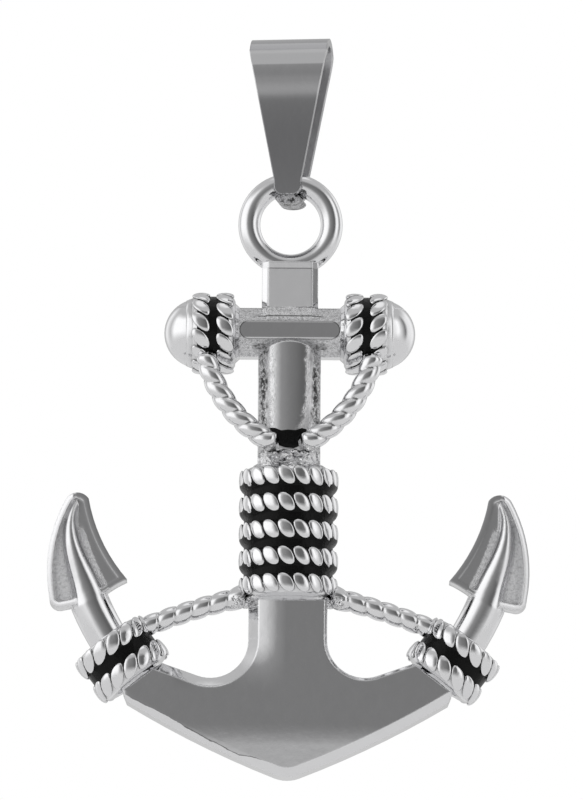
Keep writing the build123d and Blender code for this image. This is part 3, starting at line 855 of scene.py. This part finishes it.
def rope_steel():
    """Polished rope relief with painted shade in the seams between its strands, rough and stained where it
    runs into the casting above and below the shank's lashing.
    """
    coat = steel("rope_polish")
    tree, z = coat.tree, coat.spot.z
    reach = math_node(tree, "ABSOLUTE", coat.spot.x)
    lumps = noise(tree, coat.spot.where, 1.5, 2.0, 0.5)
    below = both(tree, band(tree, z, *STAY_JOINT, 0.08), band(tree, reach, 2.6, 4.3, 0.3))
    above = both(tree, band(tree, z, *DRAPE_JOINT, 0.08), under(tree, reach, 4.3, 0.3))
    joint = either(tree, below, above)
    stain = times(tree, joint, ramp(tree, lumps, 0.36, 0.46, 0.55, 0.0))
    # The seams between the strands get painted shade, darker where they are more hidden
    seam_occlusion = tree.nodes.new("ShaderNodeAmbientOcclusion")
    seam_occlusion.samples = 6
    seam_occlusion.only_local = True
    seam_occlusion.inputs["Distance"].default_value = SEAM_SHADE_REACH * MM
    seam_shade = ramp(tree, seam_occlusion.outputs["AO"], 0.55, 0.92, 0.95, 0.0)
    base = mix(tree, coat.soft, steel_grey(0.75), steel_grey(0.80))
    # The base is darkened by the stains at the joints and by the painted shade in the seams
    base = mix(tree, either(tree, stain, seam_shade), base, grey(0.10))
    rough = ramp(tree, coat.fine, 0.3, 0.7, 0.063, 0.126)
    return paint(coat, base, rough, bump(tree, lumps, 1.1, joint, bump(tree, coat.soft, 0.05, 0.5)))


def enamel():
    """Glossy black enamel with a faint ripple."""
    material, tree, shader = principled("enamel_fill")
    where = position(tree).where
    ripple = noise(tree, where, 2.2, 3.0)
    specks = noise(tree, where, 9.0, 4.0)
    shader.inputs["Specular IOR Level"].default_value = 0.10
    tree.links.new(mix(tree, specks, grey(0.003), grey(0.010)), shader.inputs["Base Color"])
    tree.links.new(ramp(tree, specks, 0.3, 0.7, 0.16, 0.34), shader.inputs["Roughness"])
    tree.links.new(bump(tree, ripple, 0.10, 0.6), shader.inputs["Normal"])
    return material


rope_skin = rope_steel()
black = enamel()
own_skins = {"bail": bail_steel(), "anchor": cast_steel()}

for name, node in nodes.items():
    node.data.materials.clear()
    node.data.materials.append(black if "enamel" in name else own_skins.get(name, rope_skin))


# The ropes with their strands and the run enamel, in place of the plain ones

def shank_pieces():
    centre, axis = (0, 0, SHANK_Z), (0, 0, 1)
    turns = wind(centre, axis, SHANK_LASHING)
    turns.append(lip(centre, axis, CROWN_FACES, shank_collar(SHANK_FOOT), -1))
    turns.append(lip(centre, axis, SHANK_FACES, shank_collar(SHANK_HEAD), 1))
    piece = add_mesh("shank_rope", *join(turns), rope_skin, "rope_steel")
    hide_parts("shank_lashing")
    fill = enamel_band(centre, axis, SHANK_LASHING, SHANK_BARE, SHANK_SWELL)
    piece = add_mesh("shank_black", *fill, black, "black_enamel")
    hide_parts("shank_enamel_1", "shank_enamel_2", "shank_enamel_3", "shank_enamel_4")


def stock_pieces(side, name):
    middle, centre, axis = (0, 0, STOCK_Z), (side * STOCK_LASH, 0, STOCK_Z), (1, 0, 0)
    turns = wind(centre, axis, STOCK_LASHING, side)
    turns.append(revolve(middle, axis, [(distance, side * way) for distance, way in STOCK_OUTER]))
    turns.append(lip(middle, axis, STOCK_FACES, STOCK_INNER, side))
    piece = add_mesh(f"stock_rope_{name}", *join(turns), rope_skin, "rope_steel")
    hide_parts(f"stock_lashing_{name}")
    piece = add_mesh(f"stock_black_{name}", *enamel_band(centre, axis, STOCK_LASHING), black, "black_enamel")
    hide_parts(f"stock_enamel_{name}")


def arm_pieces(side, name):
    centre, axis = (side * ARM_LASH[0], 0, ARM_LASH[1]), (side * ARM_ALONG[0], 0, ARM_ALONG[1])
    turns = wind(centre, axis, ARM_LASHING, side)
    piece = add_mesh(f"arm_rope_{name}", *join(turns), rope_skin, "rope_steel")
    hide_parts(f"arm_lashing_{name}")
    piece = add_mesh(f"arm_black_{name}", *enamel_band(centre, axis, ARM_LASHING), black, "black_enamel")
    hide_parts(f"arm_enamel_{name}")


def stay_piece(side, name):
    start, end, bulge = (mirrored(side, point) for point in (*STAY_ENDS, STAY_BULGE))
    parts = [open_rope(arc_points(start, end, bulge), -side, **STAY_ROPE)]
    parts += [bead(mirrored(side, middle), size) for middle, size in STAY_BEADS]
    piece = add_mesh(f"stay_rope_{name}", *join(parts), rope_skin, "rope_steel")
    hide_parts(f"arm_stay_{name}")


def drape_piece(side, name):
    high, low = (np.array(mirrored(side, point)) for point in DRAPE_ENDS)
    chord = low - high
    fall = unit(chord * (0, 1, 1))
    sag = unit(np.array((side * (chord @ fall), 0, 0)) + fall * abs(chord[0])) * DRAPE_SAG
    parts = [open_rope(arc_points(high, low, sag), -side, **DRAPE_ROPE)]
    parts += [bead(mirrored(side, middle), size) for middle, size in DRAPE_BEADS]
    piece = add_mesh(f"drape_strands_{name}", *join(parts), rope_skin, "rope_steel")
    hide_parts(f"drape_rope_{name}")


def run_piece():
    drop = puddle(RUN, lambda x: RUN_FACE - RUN_RISE * (1 - (x / RUN_HALF) ** 2), RUN_THICK, RUN_LOW)
    piece = add_mesh("drape_black", *drop, black, "black_enamel")
    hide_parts("drape_enamel")


shank_pieces()
for side, name in ((-1, "left"), (1, "right")):
    stock_pieces(side, name)
    arm_pieces(side, name)
    stay_piece(side, name)
    drape_piece(side, name)
run_piece()


# Floor, studio light and camera

# The floor: half its size and its height, in metres
FLOOR_HALF = 1.6
FLOOR_Z = -0.60

# The white tent with its grey gaps: azimuth to the right of the front in degrees, and how bright
TENT = [(-180, 0.42), (-155, 0.42), (-135, 0.85), (-110, 0.48), (-90, 1.0), (-60, 1.0), (-38, 0.92),
        (-26, 0.48), (-16, 0.25), (0, 0.181), (14, 0.146), (26, 0.108), (38, 0.123), (46, 0.75), (62, 1.0),
        (80, 0.45), (92, 0.15), (104, 0.75), (135, 0.85), (155, 0.42), (180, 0.42)]
# How the tent goes on at other heights: from and to an elevation in degrees, and how bright it is there
TENT_LEVELS = [(6, -20, 0.60), (32, 52, 0.45), (66, 80, 0.80)]
TENT_LIGHT = 1.3

# The camera looks up at the pendant: tilt and roll in degrees, and distance in metres
VIEW_TILT = -9
VIEW_ROLL = 0.39
VIEW_DISTANCE = 0.9
# The place that it looks at and the size of a pixel there, in millimetres, with the image's height in pixels
VIEW_TARGET = (0.17, 0.0, -28.05)
PIXEL = 0.0782
IMAGE_HEIGHT = 800
# Height of the camera's sensor, in millimetres
SENSOR = 24.0


def floor():
    mesh = bpy.data.meshes.new("floor")
    corners = [(x * FLOOR_HALF, y * FLOOR_HALF, 0) for x, y in ((-1, -1), (1, -1), (1, 1), (-1, 1))]
    mesh.from_pydata(corners, [], [(0, 1, 2, 3)])
    material, _, shader = principled("floor_paper")
    shader.inputs["Base Color"].default_value = (0.9, 0.9, 0.9, 1)
    shader.inputs["Roughness"].default_value = 0.9
    shader.inputs["Emission Color"].default_value = (1, 1, 1, 1)
    shader.inputs["Emission Strength"].default_value = 0.12
    mesh.materials.append(material)
    piece = bpy.data.objects.new("floor", mesh)
    piece.location = (0, 0, FLOOR_Z)
    bpy.context.scene.collection.objects.link(piece)


def studio():
    world = bpy.data.worlds.new("studio")
    bpy.context.scene.world = world
    world.use_nodes = True
    tree = world.node_tree
    tree.nodes.clear()
    coord = tree.nodes.new("ShaderNodeTexCoord")
    split = tree.nodes.new("ShaderNodeSeparateXYZ")
    tree.links.new(coord.outputs["Generated"], split.inputs[0])
    right, back, up = split.outputs
    azimuth = math_node(tree, "ARCTAN2", right, times(tree, back, -1.0))
    walls = tree.nodes.new("ShaderNodeValToRGB")
    stops = walls.color_ramp.elements
    while len(stops) < len(TENT):
        stops.new(0.5)
    for stop, (angle, value) in zip(stops, TENT):
        stop.position = (angle + 180) / 360
        stop.color = (*grey(value), 1)
    tree.links.new(ramp(tree, azimuth, -math.pi, math.pi, 0.0, 1.0), walls.inputs["Fac"])
    tent = walls.outputs["Color"]
    for start, end, value in TENT_LEVELS:
        low, high = math.sin(math.radians(start)), math.sin(math.radians(end))
        tent = mix(tree, ramp(tree, up, low, high, 0.0, 1.0, "SMOOTHSTEP"), tent, grey(value))
    light = tree.nodes.new("ShaderNodeBackground")
    tree.links.new(tent, light.inputs["Color"])
    light.inputs["Strength"].default_value = TENT_LIGHT
    # The camera sees white paper in place of the tent
    paper = tree.nodes.new("ShaderNodeBackground")
    paper.inputs["Color"].default_value = (1, 1, 1, 1)
    path = tree.nodes.new("ShaderNodeLightPath")
    choose = tree.nodes.new("ShaderNodeMixShader")
    tree.links.new(path.outputs["Is Camera Ray"], choose.inputs[0])
    tree.links.new(light.outputs[0], choose.inputs[1])
    tree.links.new(paper.outputs[0], choose.inputs[2])
    out = tree.nodes.new("ShaderNodeOutputWorld")
    tree.links.new(choose.outputs[0], out.inputs["Surface"])


def camera():
    tilt = math.radians(VIEW_TILT)
    back = Vector((0, -math.cos(tilt), math.sin(tilt)))
    lens = bpy.data.cameras.new("camera")
    lens.sensor_fit = "VERTICAL"
    lens.sensor_height = SENSOR
    lens.lens = SENSOR * VIEW_DISTANCE / (IMAGE_HEIGHT * PIXEL * MM)
    lens.clip_start = 0.01
    eye = bpy.data.objects.new("camera", lens)
    bpy.context.scene.collection.objects.link(eye)
    place = Matrix.Translation(Vector([c * MM for c in VIEW_TARGET]) + back * VIEW_DISTANCE)
    turn = (-back).to_track_quat("-Z", "Y").to_matrix().to_4x4()
    eye.matrix_world = place @ turn @ Matrix.Rotation(math.radians(VIEW_ROLL), 4, "Z")
    bpy.context.scene.camera = eye


floor()
studio()
camera()
bpy.context.scene.view_settings.view_transform = "Standard"
